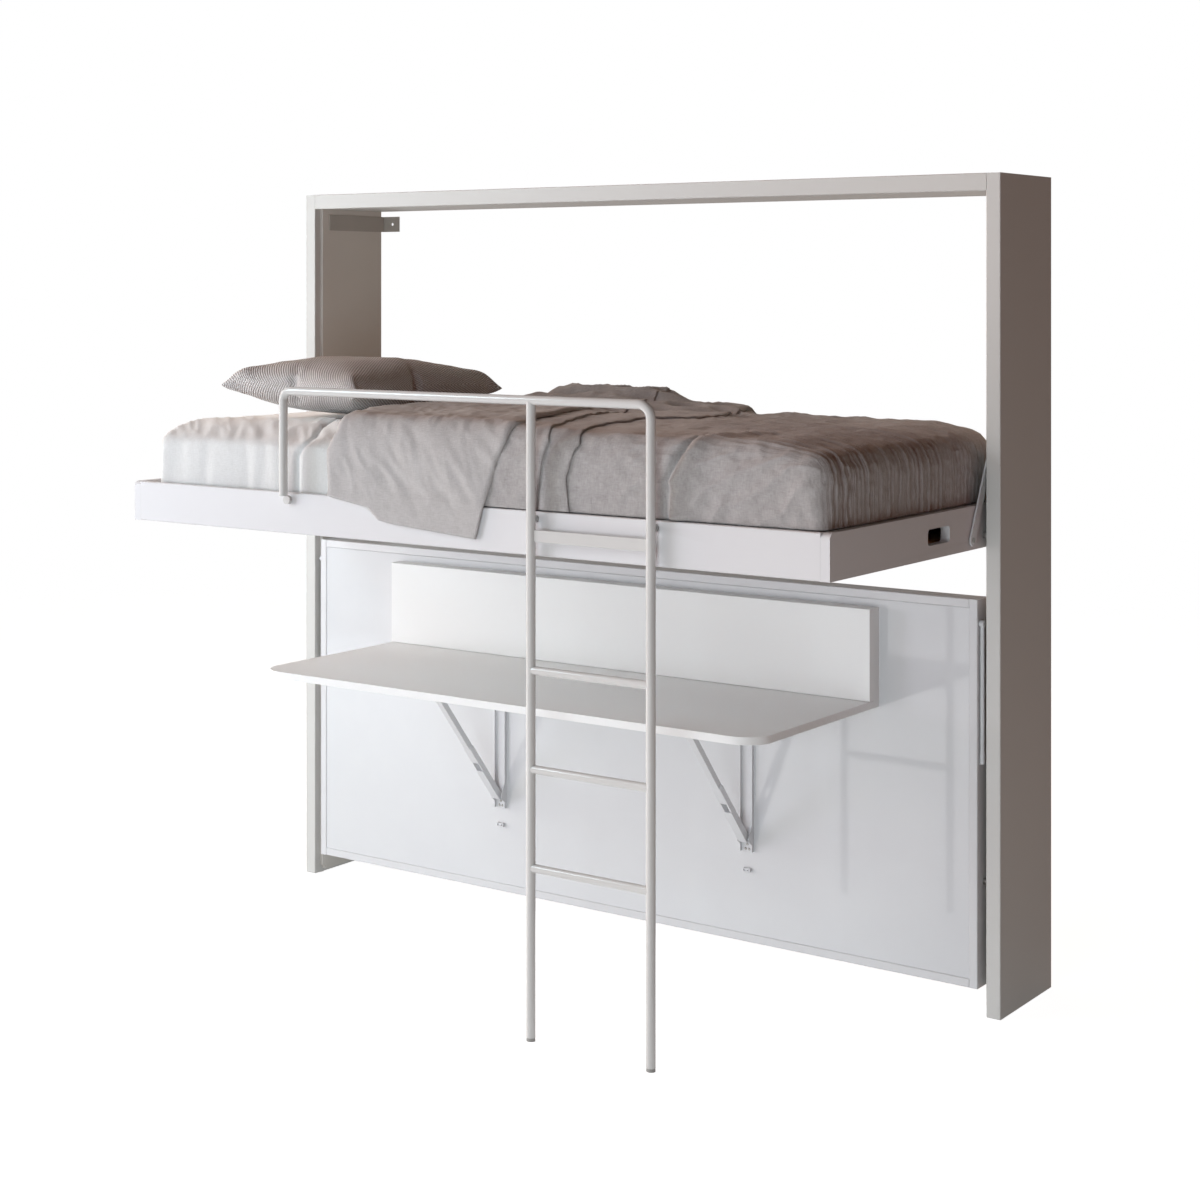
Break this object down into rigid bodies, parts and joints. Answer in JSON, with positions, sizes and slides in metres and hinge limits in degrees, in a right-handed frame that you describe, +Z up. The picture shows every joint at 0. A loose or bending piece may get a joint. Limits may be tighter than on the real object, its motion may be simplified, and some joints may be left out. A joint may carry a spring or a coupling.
{
  "type": "wall bed with fold-down desk",
  "caption": "Open wall frame with stacked single beds that tilt up against the wall, a desk that folds down from the lower bed, and a tube guard rail with ladder",
  "frame": {"origin": "on the floor, at the middle of the footprint with the upper bed down and the ladder in place", "axes": "+X along the wall, to the right of someone facing it; +Y into the wall; +Z up"},
  "size_m": [2.14, 1.131, 2.01],
  "materials": {
    "lacquered_board": "matt lacquer, light warm grey-white",
    "gloss_panel": "high gloss, cool white",
    "zinc_steel": "bright zinc",
    "powder_coated_steel": "satin white powder coat",
    "nylon": "moulded, matt grey",
    "birch_slat": "clear matt lacquer on birch",
    "sheet_linen": "plain woven linen",
    "duvet_linen": "washed linen",
    "pillow_knit": "diagonal rib knit"
  },
  "bodies": {
    "frame": {"left_side_board": "lacquered_board", "right_side_board": "lacquered_board", "top_board": "lacquered_board", "left_liner": "lacquered_board", "right_liner": "lacquered_board", "wall_plates": "zinc_steel", "rear_tie_rail": "powder_coated_steel", "floor_glides": "nylon", "pivot_bushes": "nylon", "stay_guides": "zinc_steel", "bed_stops": "nylon"},
    "upper_bed": {"upper_front_rail": "lacquered_board", "upper_rear_rail": "lacquered_board", "upper_left_end": "lacquered_board", "upper_right_end": "lacquered_board", "upper_face_panel": "gloss_panel", "upper_slats": "birch_slat", "upper_pivot_pins": "zinc_steel", "upper_stay_pins": "zinc_steel", "ladder_clips": "zinc_steel", "upper_mattress": "sheet_linen", "upper_pillow": "pillow_knit", "upper_duvet": "duvet_linen"},
    "left_stay": {"left_stay_arm": "powder_coated_steel"},
    "right_stay": {"right_stay_arm": "powder_coated_steel"},
    "lower_bed": {"lower_top_rail": "lacquered_board", "lower_bottom_rail": "lacquered_board", "lower_left_end": "lacquered_board", "lower_right_end": "lacquered_board", "lower_face_panel": "gloss_panel", "lower_slats": "birch_slat", "lower_mattress": "sheet_linen", "lower_pivot_pins": "zinc_steel", "leg_pivots": "zinc_steel", "desk_batten": "lacquered_board", "desk_upstand": "lacquered_board", "desk_hinge_knuckles": "zinc_steel", "bracket_channels": "powder_coated_steel", "bracket_screws": "zinc_steel", "strut_rests": "nylon"},
    "left_leg": {"left_leg": "powder_coated_steel"},
    "right_leg": {"right_leg": "powder_coated_steel"},
    "desk": {"desk_top": "lacquered_board", "desk_hinge_pins": "zinc_steel", "bracket_arms": "powder_coated_steel"},
    "left_lower_strut": {"left_lower_strut": "powder_coated_steel"},
    "right_lower_strut": {"right_lower_strut": "powder_coated_steel"},
    "left_upper_strut": {"left_upper_strut": "powder_coated_steel"},
    "right_upper_strut": {"right_upper_strut": "powder_coated_steel"},
    "ladder": {"guard_tube": "powder_coated_steel", "ladder_left_post": "powder_coated_steel", "ladder_rungs": "powder_coated_steel", "ladder_crossbar": "powder_coated_steel", "ladder_foot_caps": "nylon"}
  },
  "joints": [
    {"name": "upper_bed_tilt", "type": "hinge", "parent": "frame", "child": "upper_bed", "pos_m": [0, 0.2755, 1.146], "axis": [-1, 0, 0], "range_deg": [0, 90]},
    {"name": "left_stay_swing", "type": "hinge", "parent": "upper_bed", "child": "left_stay", "pos_m": [-1.021, 0.1995, 1.14], "axis": [1, 0, 0], "range_deg": [0, 107.09]},
    {"name": "right_stay_swing", "type": "hinge", "parent": "upper_bed", "child": "right_stay", "pos_m": [1.021, 0.1995, 1.14], "axis": [1, 0, 0], "range_deg": [0, 107.09]},
    {"name": "lower_bed_tilt", "type": "hinge", "parent": "frame", "child": "lower_bed", "pos_m": [0, 0.2855, 0.315], "axis": [1, 0, 0], "range_deg": [0, 90]},
    {"name": "left_leg_fold", "type": "hinge", "parent": "lower_bed", "child": "left_leg", "pos_m": [-1.019, 0.2605, 0.935], "axis": [-1, 0, 0], "range_deg": [0, 60]},
    {"name": "right_leg_fold", "type": "hinge", "parent": "lower_bed", "child": "right_leg", "pos_m": [1.019, 0.2605, 0.935], "axis": [-1, 0, 0], "range_deg": [0, 60]},
    {"name": "desk_fold", "type": "hinge", "parent": "lower_bed", "child": "desk", "pos_m": [0.025, 0.2155, 0.70535], "axis": [1, 0, 0], "range_deg": [0, 90]},
    {"name": "left_lower_strut_fold", "type": "hinge", "parent": "lower_bed", "child": "left_lower_strut", "pos_m": [-0.3655, 0.2275, 0.33235], "axis": [1, 0, 0], "range_deg": [0, 138.72]},
    {"name": "left_upper_strut_fold", "type": "hinge", "parent": "desk", "child": "left_upper_strut", "pos_m": [-0.3655, -0.0905, 0.69335], "axis": [1, 0, 0], "range_deg": [-131.48, 0]},
    {"name": "right_lower_strut_fold", "type": "hinge", "parent": "lower_bed", "child": "right_lower_strut", "pos_m": [0.3995, 0.2275, 0.33235], "axis": [1, 0, 0], "range_deg": [0, 138.72]},
    {"name": "right_upper_strut_fold", "type": "hinge", "parent": "desk", "child": "right_upper_strut", "pos_m": [0.3995, -0.0905, 0.69335], "axis": [1, 0, 0], "range_deg": [-131.48, 0]},
    {"name": "ladder_pull_off", "type": "slide", "parent": "frame", "child": "ladder", "axis": [0, -1, 0], "range_m": [0, 0.3]}
  ],
  "couplings": [
    {"joint": "left_stay_swing", "follows": "upper_bed_tilt", "ratio": 1.1888},
    {"joint": "left_lower_strut_fold", "follows": "desk_fold", "ratio": 1.5403},
    {"joint": "left_upper_strut_fold", "follows": "desk_fold", "ratio": -1.4597},
    {"joint": "right_stay_swing", "follows": "upper_bed_tilt", "ratio": 1.1888},
    {"joint": "right_lower_strut_fold", "follows": "desk_fold", "ratio": 1.5403},
    {"joint": "right_upper_strut_fold", "follows": "desk_fold", "ratio": -1.4597}
  ]
}
